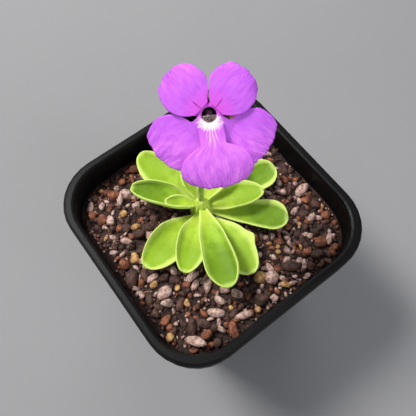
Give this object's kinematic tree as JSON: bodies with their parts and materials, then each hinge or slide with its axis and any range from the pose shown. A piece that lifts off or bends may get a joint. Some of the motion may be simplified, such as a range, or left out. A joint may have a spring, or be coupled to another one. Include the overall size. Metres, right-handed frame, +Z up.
{
  "type": "butterwort",
  "caption": "Carnivorous rosette plant with one violet flower on a bare stalk, growing in gritty compost in a small square tapered pot.",
  "frame": {"origin": "centre of the pot's base, on the surface it stands on", "axes": "+Z up, out of the pot; +X and +Y square to the pot's sides; the flower faces up and towards -X and -Y"},
  "size_m": [0.07, 0.07, 0.1181],
  "materials": {
    "pot": "satin black moulded plastic",
    "compost": "loose damp grit and bark, matt",
    "crown": "pale moist plant tissue",
    "leaf": "soft yellow-green leaf, sticky sheen",
    "stalk": "green plant tissue with fine glands",
    "petal": "soft violet petal, satin",
    "pistil": "dark purple plant tissue"
  },
  "bodies": {
    "root": {"pot": "pot", "compost": "compost", "crown_and_roots": "crown", "leaf_back_left": "leaf", "leaf_left_front": "leaf", "leaf_front_right": "leaf", "leaf_right": "leaf", "leaf_right_back": "leaf", "leaf_back_right": "leaf", "leaf_left_upper": "leaf", "leaf_front_left": "leaf", "leaf_front": "leaf", "leaf_right_upper": "leaf", "leaf_back": "leaf", "leaf_back_upper": "leaf", "leaf_young_left": "leaf", "leaf_young_back": "leaf", "flower_stalk": "stalk", "calyx": "stalk", "corolla": "petal", "pistil": "pistil"}
  },
  "joints": []
}
